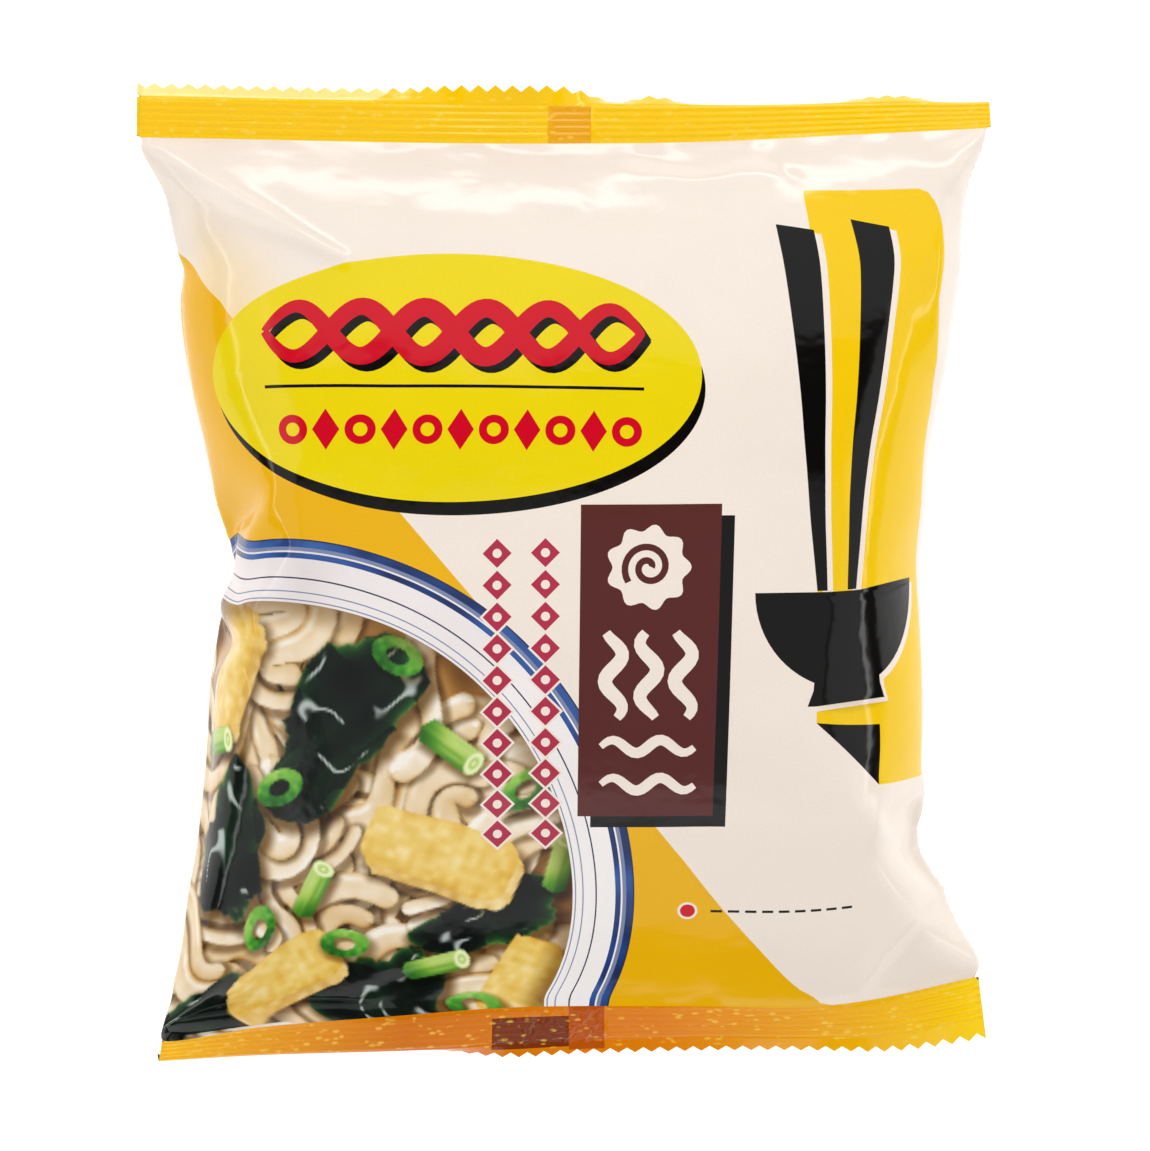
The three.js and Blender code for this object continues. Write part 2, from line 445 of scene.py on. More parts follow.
def pressFolds(grid):
    normal = gridNormals(grid)
    x, y, z = np.moveaxis(grid, -1, 0)
    front = smoothStep(-0.2, 0.25, normal[..., 2])
    lift = np.zeros(x.shape)
    for path, height, width, sharp in folds:
        near, _, along = nearestOnPath(x, y, path)
        fade = np.sin(np.pi * np.clip(0.12 + 0.76 * along, 0, 1)) ** 0.6
        lift += height * np.exp(-(near / width) ** sharp) * fade * front
    w = np.arange(len(grid))[:, None] * pack["gridStep"]
    u = np.arange(grid.shape[1])[None, :] * pack["gridStep"] + 0 * w
    fromBand = fromEnds(len(grid))[:, None]
    for height, size, seed in unevenness["lumps"]:
        lift += height * softNoise(u, w, size, seed)
    height, size, seed = unevenness["puckers"]
    lift += height * np.exp(-fromBand / unevenness["puckerReach"]) * softNoise(u, w * 0.3, size, seed)
    lift *= smoothStep(0, 2.5, fromBand) * smoothStep(0.3, 2.5, z)  # none on the bands or the table
    return grid + normal * lift[..., None]


def partLayers(grid):
    # keeps the front above the back where they come together at the bands
    half = grid.shape[1] // 2
    front = np.arange(half + 1)
    back = -front % (2 * half)
    fromBand, fromFold = fromEnds(len(grid))[:, None], fromEnds(half + 1)[None, :]
    wanted = np.minimum(0.6 * fromBand, unevenness["layerGap"]) * smoothStep(0, 6, fromFold)
    short = np.maximum(0, wanted - (grid[:, front, 2] - grid[:, back, 2]))
    grid[:, front, 2] += 0.75 * short
    grid[:, back, 2] -= 0.25 * short
    sag = smoothStep(0, 5, fromBand) * smoothStep(18, 8, fromBand) * smoothStep(0, 8, fromFold)
    grid[:, back, 2] -= np.minimum(unevenness["sag"] * sag, 0.5 * np.maximum(grid[:, back, 2] - 2.5, 0))
    return grid


class FilledFilm:
    # the finished surface: film places in, points and normals out
    def __init__(self):
        coarse = matchOutline(tighten(fillFilm()))
        finer = round(pack["clothCell"] / pack["gridStep"])
        grid = fillShoulders(resample(resample(coarse, finer, 1, True), finer, 0, False))
        self.grid = partLayers(pressFolds(grid))
        self.raised = fin["thickness"] - self.grid[..., 2].min()
        self.grid[..., 2] += self.raised
        self.normals = gridNormals(self.grid)

    def body(self, u, w):
        # u around the tube from the left fold, w along from the lower band
        rows, cols = self.grid.shape[:2]
        gu, gw = u / pack["gridStep"], np.clip(w / pack["gridStep"], 0, rows - 1.001)
        iu, iw = np.floor(gu).astype(int), np.floor(gw).astype(int)
        tu, tw = (gu - iu)[:, None], (gw - iw)[:, None]
        return [bilinear(lambda a, b: field[iw + b, (iu + a) % cols], tu, tw)
                for field in (self.grid, self.normals)]

    def band(self, seal, u, depth):
        # a welded end: ribs, then a margin, bent as the tilts say
        width, edge = pack["tubeWidth"], seal["bandDepth"]
        around = np.mod(u, 2 * width)
        onFront = around <= width
        share = np.where(onFront, around, 2 * width - around) / width
        bandTilt, marginTilt = (np.radians(smoothCurve(seal["tiltShare"], seal[key], share))
                                for key in ("bandTilt", "marginTilt"))

        def tiltAt(out):
            mix = smoothStep(edge - 1.2, edge + 0.8, out)  # turns over about 2 mm
            return bandTilt * (1 - mix) + marginTilt * mix

        place = sealPoint(seal, share) + (0, 0, self.raised)
        total, pieces = bandLength(seal), 14
        for k in range(pieces):  # walks outwards, a short stretch at a time
            low, high = total * k / pieces, total * (k + 1) / pieces
            tilt = tiltAt((low + high) / 2)
            stretch = np.clip(depth - low, 0, high - low)
            place[:, 1] += seal["end"] * stretch * np.cos(tilt)
            place[:, 2] -= stretch * np.sin(tilt)
        place[:, 0] += seal["flare"] * (2 * share - 1) * depth / total
        tilt = tiltAt(depth)
        sine, cosine, none = np.sin(tilt), np.cos(tilt), 0 * tilt
        normal = np.stack([none, seal["end"] * sine, cosine], -1)
        outwards = np.stack([none, seal["end"] * cosine, -sine], -1)
        inBand = smoothStep(0.5, 1.1, depth) * smoothStep(edge + 0.1, edge - 0.3, depth)
        turns = 2 * np.pi * crimp["ribs"] / edge
        ribs = crimp["ribHeight"] * np.sin(turns * depth) * inBand
        slope = crimp["ribHeight"] * np.cos(turns * depth) * turns * inBand
        layer = np.where(onFront, 1, -1)
        place += normal * (ribs + crimp["weld"] * layer * smoothStep(0, 1, depth))[:, None]
        normal -= outwards * slope[:, None]
        normal *= (layer / np.linalg.norm(normal, axis=1))[:, None]
        onFold = np.minimum(share, 1 - share) < 1e-4
        normal[onFold, 0] = np.where(share[onFold] > 0.5, 0.6, -0.6)  # rounds the side folds
        return place, normal

    def at(self, u, w):
        place, normal = self.body(u, w)
        for seal, depth in ((lowerSeal, -w), (upperSeal, w - pack["filmLength"])):
            out = depth > 0
            place[out], normal[out] = self.band(seal, u[out], depth[out])
        return place, normal


film = FilledFilm()
print("film filled over the noodle block")


# The print, laid out on the flat film.
# Places on the front are in millimetres from its middle: x to the right, y to the upper seal.
inks = {
    "white": "#F1E4D8",
    "amber": "#ECB204",
    "bandAmber": "#F9C700",
    # the lower band's amber, painted darker and more orange as shade
    "bandAmberShaded": "#E58100",
    "lemon": "#EBD309",
    "yellow": "#F3C705",
    "black": "#070504",
    "maroon": "#56201D",
    "red": "#CE0722",
    "crimson": "#B12B49",
    # darker where the fin is welded in: its extra layers, and painted shade
    "finGlow": "#EDA809",
    "finBrown": "#7F3208",
    "finRust": "#BD5300",
    "pale": "#FFDA52",
    # painted highlight: the left part of the upper margin, paler where it catches the light
    "marginPale": "#F6E58C",
    "amberGlow": "#F3DFB6",
    "bowl": "#D5A862",
    "glaze": "#E6DEDD",
    "rimBlue": "#29478A",
    "rimGrey": "#7C86A4",
    "rimLine": "#2B2F4E",
}
# The lower band's amber is painted with light and shade: yellow at its lit ends, burnt orange in the shaded
# middle. Stations: x of the front, ink
lowerBandShadeInks = [(-72, "#FFBE00"), (-30, "#D87600"), (16, "#E68200"), (74, "#FFD300")]

# Shapes on the front: places as above, y from the edge of the print where a line says so
layout = {
    "far": 92,  # past the folds
    "amberEdge": [(-90, 74), (-74.7, 61.3), (-67.3, 55.6), (-60, 50.2), (-54.8, 44.3), (-44.5, 31),
                  (-10.9, -9.1), (20.9, -50.5), (27.3, -59.5), (34.2, -68.4), (41, -77.5), (45.1, -81),
                  (51, -82.8)],
    "glow": [(-92, 82), (-92, 68), (-44.5, 26), (-30, 48), (-52, 81)],
    "oval": (-19, 35.4, 42.9, 22.4),  # middle, then half sizes
    "ovalLean": -1.6,  # degrees
    "ovalShadow": (0.6, -2.3),
    "braid": (-51, 13.6, 43.0, 4.5, 21.4),  # left, right, middle height, height and length of its waves
    "strand": 3.6,
    "braidShadow": (1.1, -1.2),
    "rule": (-50.6, 14, 33.2, 0.28),  # left, right, middle height, half its thickness
    "beads": (-46, 11.2, 11, 25.6),  # left, right, how many, middle height
    "bead": (2.6, 1.2),  # radius of a ring and of its hole
    "beadLozenge": (2.3, 3.6),
    "label": [(2.4, -42), (25.7, -42), (27.3, 12.2), (3.0, 12.2)],
    "labelShadow": (2.2, -2.0),
    "fishCake": (1.4, 6.8, 4.3, 1.15),  # height, size, size of its swirl, width of the line
    "steam": (-24.5, -9.5, 1.5, 9.2, 2.5),  # foot, top, height and length of the waves, width
    "steamPlaces": [(-6, 0.4), (0, 2.2), (6, 0.4)],  # from the middle, and phase
    "ripples": (8.2, 1.15, 8.2, 1.9),  # half length, height and length of the waves, width
    "ripplePlaces": (-29.5, -36.2),
    "bar": [(41.8, 69.9), (62.4, 69.1), (64, 68.2), (64.5, 66.4), (62.8, 47.2), (66.4, 28), (69.0, 2),
            (72.8, -40.4), (56.9, -38.3), (56, -27.5), (43.4, -25.8), (43.4, 9), (41.8, 38)],
    "barCorner": [(43.4, -25.8), (56, -27.5), (56.9, -38.3)],
    "chopsticks": [[(36.6, 63), (42.4, 61.6), (45.2, -3), (43.4, -3)],
                   [(48.4, 63.6), (54.2, 61.8), (50.6, -3), (48.9, -3)]],
    "sideBowl": (49.4, -3.2, 33, 17),  # middle of its rim, width, depth
    "boldShadow": (1.0, -0.9),
    "chains": (-11.4, -3.1),
    "chainLinks": (4.0, -47, -5.45),  # from, to, step
    "chainLink": (3.05, 2.5, 0.8),  # half size of the white lozenge, the crimson one, the white spot
    "dot": (21.5, -60.2, 1.3),
    "dashes": (4, 3, 9),  # start from the dot, step, how many
    "dash": (2, -0.35, 0.15),  # length, foot and top
    # part of the upper margin painted paler as a highlight
    "sheenPatchOnMargin": [(-92, 7.4), (-33.5, 7.4), (-31, 9), (-30, 12), (-92, 12)],  # y from the edge
    # where the fin is welded in, its extra layers and painted shade darken the band: ink, left, low, right,
    # high, from the edge of the print
    "upperSeam": [("finGlow", -2.8, 0, 4.8, 6.8)],
    "lowerSeam": [("finBrown", -14, -9.0, 0, -2.2), ("finRust", 0, -9.8, 6.5, 0)],
}


frontMiddle = np.array([pack["tubeWidth"] / 2, pack["filmLength"] / 2])


def ellipse(x, y, rx, ry, count=60):
    angle = 2 * np.pi * np.arange(count) / count
    return np.stack([x + rx * np.cos(angle), y + ry * np.sin(angle)], -1)


def polygon(corners, step=1.5):
    # straight edges, with points along them so that they follow the curved film
    points = []
    for (ax, ay), (bx, by) in zip(corners, corners[1:] + corners[:1]):
        count = max(1, math.ceil(math.hypot(bx - ax, by - ay) / step))
        for k in range(count):
            points.append((ax + (bx - ax) * k / count, ay + (by - ay) * k / count))
    return np.array(points)


def box(left, low, right, high, step=1.5):
    return polygon([(left, low), (right, low), (right, high), (left, high)], step)


def stroke(path, width):
    # outline of a line of the given width, or of one width at each point
    path = np.asarray(path, float)
    ahead = np.gradient(path, axis=0)
    ahead /= np.linalg.norm(ahead, axis=1, keepdims=True)
    side = np.stack([-ahead[:, 1], ahead[:, 0]], -1) * np.broadcast_to(width, len(path))[:, None] / 2
    return np.concatenate([path - side, (path + side)[::-1]])


def leaning(ring, middle, degrees):
    return np.stack(turned(*(np.asarray(ring) - middle).T, -degrees), -1) + middle


def wave(low, high, middle, height, length, phase, upright=False):
    # a wavy line and a width that tapers at both ends, as shares of 1
    along = np.arange(low, high + 0.1, 0.7)
    across = middle + height * np.sin(2 * np.pi * (along - low) / length + phase)
    taper = np.sin(np.pi * np.clip((along - low + 1.2) / (high - low + 2.4), 0, 1)) ** 0.35
    return np.stack([across, along] if upright else [along, across], -1), taper


def lozenge(x, y, rx, ry):
    return polygon([(x + rx, y), (x, y + ry), (x - rx, y), (x, y - ry)])


def rosette(x, y, size, petals=9):
    ring = ellipse(0, 0, size, size, 72)
    angle = 2 * np.pi * np.arange(72) / 72
    return (x, y) + ring * (1 + 0.09 * np.cos(petals * angle))[:, None]


def swirl(x, y, size, turns=1.6):
    t = np.linspace(0, 1, 46)
    angle, reach = 2 * np.pi * turns * t, size * (0.12 + 0.88 * t)
    return np.stack([x + reach * np.cos(angle), y + reach * np.sin(angle)], -1)


def sideBowl(x, y, width, depth):
    # a bowl seen from the side, standing on its foot
    angle = np.linspace(np.pi, 2 * np.pi, 36)
    wall = np.stack([x + width / 2 * np.cos(angle), y + depth * np.sin(angle)], -1)
    foot = np.array([(-0.20, -1.0), (-0.23, -1.16), (0.23, -1.16), (0.20, -1.0)]) * (width, depth) + (x, y)
    lower = np.flatnonzero(np.abs(wall[:, 0] - x) < 0.19 * width)
    return np.concatenate([wall[:lower[0]], foot, wall[lower[-1] + 1:]])


def bandFields(left, right):
    edge = pack["filmLength"] / 2
    low, high = box(left, -edge - 12, right, -edge), box(left, edge, right, edge + 12)
    return [(low, "bandAmberShaded"), (high, "bandAmber")]


def frontFields():
    # painted in this order, each over the last
    edge, far = pack["filmLength"] / 2, layout["far"]
    fields = []
    add = lambda ring, ink: fields.append((ring, ink))

    def shadowed(rings, ink, shift, shadowInk):
        for by, tone in ((shift, shadowInk), ((0, 0), ink)):
            for ring in rings:
                add(ring + by, tone)

    add(polygon(layout["glow"]), "amberGlow")
    add(polygon(layout["amberEdge"] + [(51, -edge), (-far, -edge), (-far, 74)]), "amber")
    rise, start, full, above = bowlPicture["leftRise"]
    for radius, ink in bowlPicture["rim"]:
        ring = ellipse(*bowlPicture["centre"], radius, radius, 240)
        ring[:, 1] += rise * smoothStep(start, full, ring[:, 0]) * (ring[:, 1] > above)
        add(ring, ink)

    # two crimson chains of lozenges over the rim of the bowl
    border, size, spot = layout["chainLink"]
    for x in layout["chains"]:
        for y in np.arange(*layout["chainLinks"]):
            add(lozenge(x, y, border, border), "white")
            add(lozenge(x, y, size, size), "crimson")
            add(ellipse(x, y, spot, spot, 12), "white")

    # braid, rule and beads lean with the oval
    lean = lambda ring: leaning(ring, layout["oval"][:2], layout["ovalLean"])
    shadowed([lean(ellipse(*layout["oval"], 150))], "lemon", layout["ovalShadow"], "black")
    strands = [wave(*layout["braid"], phase) for phase in (0.0, math.pi)]
    for shift, ink in ((layout["braidShadow"], "black"), ((0, 0), "red")):
        for path, taper in strands:
            add(lean(stroke(path + shift, layout["strand"] * taper)), ink)
    left, right, y, half = layout["rule"]
    add(lean(box(left, y - half, right, y + half)), "black")
    *row, y = layout["beads"]
    size, hole = layout["bead"]
    for k, x in enumerate(np.linspace(*row)):
        if k % 2:
            add(lean(lozenge(x, y, *layout["beadLozenge"])), "red")
        else:
            add(lean(ellipse(x, y, size, size, 30)), "red")
            add(lean(ellipse(x, y, hole, hole, 20)), "lemon")

    add(polygon(layout["bar"]), "yellow")
    add(polygon(layout["barCorner"]), "black")
    bold = [polygon(stick) for stick in layout["chopsticks"]] + [sideBowl(*layout["sideBowl"])]
    shadowed(bold, "black", layout["boldShadow"], "white")

    label = polygon(layout["label"])
    shadowed([label], "maroon", layout["labelShadow"], "black")
    middle = label[:, 0].mean()
    y, size, swirlSize, line = layout["fishCake"]
    add(rosette(middle, y, size), "white")
    add(stroke(swirl(middle, y, swirlSize), line), "maroon")
    foot, top, height, length, width = layout["steam"]
    for x, phase in layout["steamPlaces"]:
        path, taper = wave(foot, top, middle + x, height, length, phase, True)
        add(stroke(path, width * taper), "white")
    half, height, length, width = layout["ripples"]
    for y in layout["ripplePlaces"]:
        path, taper = wave(middle - half, middle + half, y, height, length, 0.0)
        add(stroke(path, width * taper), "white")

    x, y, size = layout["dot"]
    add(ellipse(x, y, size * 1.35, size * 1.35, 24), "white")
    add(ellipse(x, y, size, size, 24), "red")
    start, step, count = layout["dashes"]
    length, foot, top = layout["dash"]
    for left in x + start + step * np.arange(count):
        add(box(left, y + foot, left + length, y + top, 0.9), "black")

    fields += bandFields(-far, far)
    # painted highlight on the left of the upper margin
    add(polygon([(x, edge + y) for x, y in layout["sheenPatchOnMargin"]]), "marginPale")
    # the fin's seams, darker from its extra layers and painted shade
    for side, seam in ((edge, "upperSeam"), (-edge, "lowerSeam")):
        for ink, left, low, right, high in layout[seam]:
            add(box(left, side + low, right, side + high), ink)
    return fields


def toLinear(srgb):
    srgb = np.clip(np.asarray(srgb, float), 0, 1)
    return np.where(srgb <= 0.04045, srgb / 12.92, ((srgb + 0.055) / 1.055) ** 2.4)


def hexColour(code):
    return np.array([int(code[k:k + 2], 16) / 255 for k in (1, 3, 5)])


# Picture on the pack: places in mm from the middle of the bowl
bowlPicture = {
    "centre": (-52.5, -57),
    "radius": 64.8,
    "wall": 10.7,  # glazed wall seen inside the rim
    # the rim is printed higher towards the left fold: by how much, from x to x, above which y
    "leftRise": (6.0, -56, -75, -40),
    "bundles": 90,  # tangled noodles, laid one to three together
    "noodleWidth": 5.0,
    "seed": 19,
    # rings of the rim and the wall: outer radius, ink
    "rim": [(64.8, "rimLine"), (64.55, "rimBlue"), (63.4, "rimGrey"), (62.75, "glaze"), (62.45, "rimBlue"),
            (61.5, "glaze"), (58.3, "rimLine"), (58.05, "glaze"), (56.0, "rimGrey"), (55.8, "glaze"),
            (54.7, "rimGrey"), (54.5, "glaze"), (54.1, "bowl")],
    # place, turn in degrees, then length and width or size
    "tofu": [(-8, 43, 64, 25, 11), (31, 9, -22, 27, 12), (2, -14, 28, 23, 11), (44, -19, 64, 22, 10)],
    "seaweed": [(14, 33, 40, 17), (-9, 12, 100, 13), (40, -4, 10, 12), (20, -22, 75, 15), (-16, -20, 30, 12)],
    "leek": [(33, 28, -38, 12.5), (8, 3, 62, 12), (52, 6, 75, 11.5), (-14, 30, 5, 12), (30, -14, 14, 12)],
    "rings": [(2, 22, 20), (24, 44, -30), (46, 20, 40), (14, -8, -10), (-3, -3, 70), (36, -24, 0)],
}
# Its paints, each from dark to light
paints = {
    "broth": ["#8A5A22", "#B98542", "#D5A862"],
    "noodle": ["#74451A", "#B67F3A", "#DCB97F", "#EED7B4", "#FBF4E8"],
    "tofuSide": ["#BC8632", "#E8C06A", "#F7E3AE"],
    "tofuTop": ["#CB912D", "#E6B748", "#F2D27A", "#FBECC2"],
    "seaweed": ["#060A09", "#0E1A13", "#16301B", "#2B5A28", "#5E8E3D"],
    "leek": ["#2E6A1E", "#5C9A2E", "#A9CB5A", "#E6EFB0"],
    "leekEnd": ["#8DB84A", "#C9DE86", "#F1F5CC"],
    "onionRing": ["#1F5A1C", "#3F8F2C", "#7DBB45", "#C4E07C"],
    "glaze": ["#B9ADB0", "#D5CBCC", "#EAE2E1", "#F6F1EF"],
    "cobalt": ["#1B2C58", "#29478A", "#3C66A8"],
    "amberFade": [inks["white"], "#F5D391"],
}


def ringDistance(x, y, ring):
    # distance to a closed outline, negative inside
    near, _, _ = nearestOnPath(x, y, np.vstack([ring, ring[:1]]))
    inside = np.zeros(np.shape(x), bool)
    for (ax, ay), (bx, by) in zip(ring, np.roll(ring, -1, 0)):
        if ay != by:
            inside ^= ((ay > y) != (by > y)) & (x < ax + (y - ay) * (bx - ax) / (by - ay))
    return np.where(inside, -near, near)


class Picture:
    # colours at many places, painted one soft-edged shape over the other
    def __init__(self, places, rgb):
        self.x, self.y = places.T
        self.rgb = rgb

    def around(self, path, margin):
        low, high = np.min(path, 0) - margin, np.max(path, 0) + margin
        return np.flatnonzero((self.x > low[0]) & (self.x < high[0]) & (self.y > low[1]) & (self.y < high[1]))

    def near(self, spec, reach, drop):
        # places round a shape, as seen from it and from where its shadow falls
        placeX, placeY, turn = spec[:3]
        index = self.around([(placeX, placeY)], reach)
        a, b = turned(self.x[index] - placeX, self.y[index] - placeY, turn)
        dropA, dropB = turned(*drop, turn)
        return index, a, b, a - dropA, b - dropB

    def lay(self, index, colour, cover):
        self.rgb[index] += (colour - self.rgb[index]) * cover[:, None]

    def shade(self, index, cover):
        self.rgb[index] *= 1 - cover[:, None] * (0.62, 0.74, 0.92)


def blend(at, codes, stations=None):
    # colour between the given ones, which stand evenly from 0 to 1 or at their own stations
    stations = np.linspace(0, 1, len(codes)) if stations is None else stations
    channels = np.transpose([hexColour(code) for code in codes])
    return np.stack([np.interp(at, stations, channel) for channel in channels], -1)


def turned(x, y, degrees):
    # places as seen from a shape that lies turned
    turn = math.radians(degrees)
    return x * math.cos(turn) + y * math.sin(turn), y * math.cos(turn) - x * math.sin(turn)


def layNoodle(picture, path, width, tone, lit, phase):
    # a flat ribbon that twists: it narrows and changes its tone along the way
    index = picture.around(path, width)
    x, y = picture.x[index], picture.y[index]
    far, _, _ = nearestOnPath(x - 0.5, y + 0.7, path)
    picture.shade(index, 0.6 * smoothStep(width * 0.38 + 1.4, width * 0.38, far))
    near, side, along = nearestOnPath(x, y, path)
    twist = np.sin(along * len(path) * 0.33 + phase)
    half = width * (0.43 + 0.10 * twist)
    across = side / half
    light = 0.76 + tone + 0.10 * lit + 0.20 * across * twist - 0.34 * np.abs(across) ** 5
    light += 0.30 * np.exp(-((across - 0.5 * np.sign(lit)) / 0.2) ** 2) * smoothStep(-0.2, 0.6, twist)
    light += 0.07 * softNoise(x + 90, y + 90, 1.8, 31)
    picture.lay(index, blend(light, paints["noodle"]), smoothStep(half + 0.1, half - 0.35, near))


def noodleTangle(picture, radius, random):
    for _ in range(bowlPicture["bundles"]):
        reach, around = radius * math.sqrt(random.uniform(0, 1)), random.uniform(0, 2 * math.pi)
        heading, bend = random.uniform(0, 2 * math.pi), random.uniform(5.5, 13)
        steps = int(random.integers(14, 34))
        turning = np.sin(np.arange(steps) * random.uniform(0.2, 0.34) + random.uniform(0, 6))
        headings = heading + np.cumsum(turning * 1.5 / bend * 1.7)
        master = np.cumsum(np.stack([np.cos(headings), np.sin(headings)], -1) * 1.5, 0)
        master += (reach * math.cos(around), reach * math.sin(around)) - master.mean(0)
        across = np.stack([-np.sin(headings), np.cos(headings)], -1)
        count = int(random.integers(1, 4))
        width = bowlPicture["noodleWidth"] * random.uniform(0.85, 1.2)
        for k in range(count):
            path = master + across * (k - (count - 1) / 2) * width * random.uniform(0.82, 1.0)
            lit = float(np.mean(across @ (-0.6, 0.8)))
            layNoodle(picture, path, width, random.uniform(-0.1, 0.08), lit, random.uniform(0, 6))


def layTofu(picture, spec, random):
    length, width = spec[3:]
    angle = 2 * np.pi * np.arange(40) / 40
    squared = lambda wave: np.sign(wave) * np.abs(wave) ** 0.35
    ringX = length / 2 * squared(np.cos(angle)) + random.uniform(-0.45, 0.45, 40)
    ringY = width / 2 * squared(np.sin(angle)) * (1 + 0.10 * ringX / length) + random.uniform(-0.35, 0.35, 40)
    ring = np.stack([ringX, ringY], -1)
    index, a, b, sideA, sideB = picture.near(spec, math.hypot(length, width) / 2 + 3, (0.9, -2.2))
    shadow = ringDistance(1.2 * sideA - 0.2 * a, 1.2 * sideB - 0.2 * b, ring)
    picture.shade(index, 0.75 * smoothStep(2.0, -0.5, shadow))
    mottle = lambda size, seed: softNoise(a + 60, b + 60, size, seed)
    tone = 0.55 + 0.3 * mottle(1.6, 41) + 0.2 * mottle(5, 42)
    side, top = ringDistance(sideA, sideB, ring), ringDistance(a, b, ring)
    picture.lay(index, blend(tone, paints["tofuSide"]), smoothStep(0.1, -0.3, side))
    tone = 0.62 + 0.18 * mottle(1.3, 43) + 0.16 * mottle(4.5, 44)
    tone += 0.05 * b / width - 0.22 * np.exp(top / 0.9)
    picture.lay(index, blend(tone, paints["tofuTop"]), smoothStep(0.1, -0.25, top))


def laySeaweed(picture, spec, random):
    size = spec[3]
    angle = 2 * np.pi * np.arange(64) / 64
    wave = 1 + sum(height * np.cos(lobes * angle + random.uniform(0, 6))
                   for lobes, height in ((2, 0.20), (3, 0.13), (7, 0.07)))
    wave += random.uniform(-0.05, 0.05, 64)
    ring = wave[:, None] * ellipse(0, 0, size * 0.98, size * 0.62, 64)
    index, a, b, shadowA, shadowB = picture.near(spec, size * 1.5 + 2, (0.7, -1.2))
    edge = ringDistance(a, b, ring)
    picture.shade(index, 0.8 * smoothStep(2.2, -0.5, ringDistance(shadowA, shadowB, ring)))
    ridge = softNoise(a * 0.35 + 70, b + 70, 2.6, 51 + size)
    thin = smoothStep(-size * 0.3, 0, edge) * (softNoise(a + 60, b + 60, 5, 53) > 0.1)
    tone = 0.18 + 0.20 * softNoise(a + 60, b + 60, 6, 52 + size) + 0.12 * ridge
    colour = blend(tone + 0.5 * np.exp(edge / 0.5) + 0.35 * thin, paints["seaweed"])
    # wet glints run along the tops of the folds
    crest = np.abs(softNoise(a * 0.55 + 80, b + 80, 3.4, 54 + size))
    glint = smoothStep(0.13, 0.02, crest) * smoothStep(0.0, 0.35, softNoise(a + 70, b + 70, 4.2, 55))
    glint *= smoothStep(-0.6, -1.8, edge)
    colour += (hexColour("#DCE4DF") - colour) * 0.8 * glint[:, None]
    picture.lay(index, colour, smoothStep(0.1, -0.25, edge))


def layLeek(picture, spec):
    # a slanting cut of leek: a tube with its pale end showing
    length = spec[3]
    half = length * 0.26
    index, a, b, shadowA, shadowB = picture.near(spec, length, (0.6, -1.0))
    tube = lambda p, q: np.maximum(np.abs(q) - half * 0.72, np.abs(p) - length / 2 + 0.5 * np.abs(q))
    picture.shade(index, 0.7 * smoothStep(1.6, -0.4, tube(shadowA, shadowB)))
    tone = 0.62 + 0.32 * b / half - 0.2 * (b / half) ** 2 - 0.5 * smoothStep(0, -length / 2, a)
    tone += 0.12 * softNoise(a * 0.25 + 50, b * 2 + 50, 1.4, 61)
    picture.lay(index, blend(tone, paints["leek"]), smoothStep(0.15, -0.2, tube(a, b)))
    end = np.hypot((a - length / 2 + 1.1) / 0.62, b) / (half * 0.78)
    picture.lay(index, blend(0.65 + 0.35 * np.cos(end * 9.5), paints["leekEnd"]), smoothStep(1.0, 0.86, end))


def layOnionRing(picture, spec):
    index, a, b, shadowA, shadowB = picture.near(spec, 8, (0.5, -0.9))
    far, shadow = np.hypot(a / 1.45, b / 0.95), np.hypot(shadowA / 1.45, shadowB / 0.95)
    picture.shade(index, 0.6 * smoothStep(4.6, 2.9, shadow) * smoothStep(1.0, 1.8, shadow))
    tone = 0.45 + 0.4 * (b + a * 0.3) / 4 + 0.2 * softNoise(a + 40, b + 40, 1.0, 71)
    cover = smoothStep(3.4, 3.1, far) * smoothStep(1.3, 1.6, far)
    picture.lay(index, blend(tone, paints["onionRing"]), cover)


def bowlColours(places):
    # noodles in broth with fried tofu, seaweed and leek
    random = np.random.default_rng(bowlPicture["seed"])
    places = places - bowlPicture["centre"]
    soup = bowlPicture["radius"] - bowlPicture["wall"]
    picture = Picture(places, blend(0.5 + 0.5 * softNoise(*(places + 90).T, 5, 81), paints["broth"]))
    noodleTangle(picture, soup, random)
    for spec in bowlPicture["seaweed"]:
        laySeaweed(picture, spec, random)
    for spec in bowlPicture["tofu"]:
        layTofu(picture, spec, random)
    for spec in bowlPicture["leek"]:
        layLeek(picture, spec)
    for spec in bowlPicture["rings"]:
        layOnionRing(picture, spec)
    picture.shade(np.arange(len(places)), 0.5 * smoothStep(soup - 5, soup, np.hypot(*places.T)))
    return picture.rgb


def glazeColours(places):
    # the white wall is lighter at the foot of the picture
    up = (places[:, 1] - 0.3 * places[:, 0]) / bowlPicture["radius"]
    return blend(0.72 - 0.35 * up + 0.12 * softNoise(*(places + 99).T, 9, 82), paints["glaze"])


def rimBlueColours(places):
    # brushed cobalt, darker where the brush was full
    return blend(0.5 + 0.5 * softNoise(*(places + 99).T, 5, 83), paints["cobalt"])


def amberGlowColours(places):
    # a peach tint beside the upper amber field, fading out into the white
    x, y = places.T
    far, _, _ = nearestOnPath(x, y, layout["amberEdge"][:6])
    share = 0.6 * smoothStep(14, 0, far) * smoothStep(28, 44, y) * smoothStep(-74, -63, x)
    return blend(share, paints["amberFade"])


def lowerBandShadedColours(places):
    # painted light and shade along the lower band, the same on both layers: a place on the back is folded
    # over to the front
    x, width = places[:, 0], pack["tubeWidth"]
    x = np.where(x > width / 2, width - x, np.where(x < -width / 2, -width - x, x))
    stations, codes = zip(*lowerBandShadeInks)
    return blend(x, codes, stations)


panelCut = {
    "front": (-15, 165),  # film places of the two long sides of the front piece
    "back": (165, 285),
    "cell": 1.0,  # mesh over the plain film
    "backCell": 1.3,
    "bowlCell": 0.42,  # mesh under the picture of the bowl
    "bandCell": (1.5, 0.2),  # across and along the crimped bands
    "bakeSide": 200,  # side of the bake map
    "bakeStart": -12,  # below the lower cut edge
}


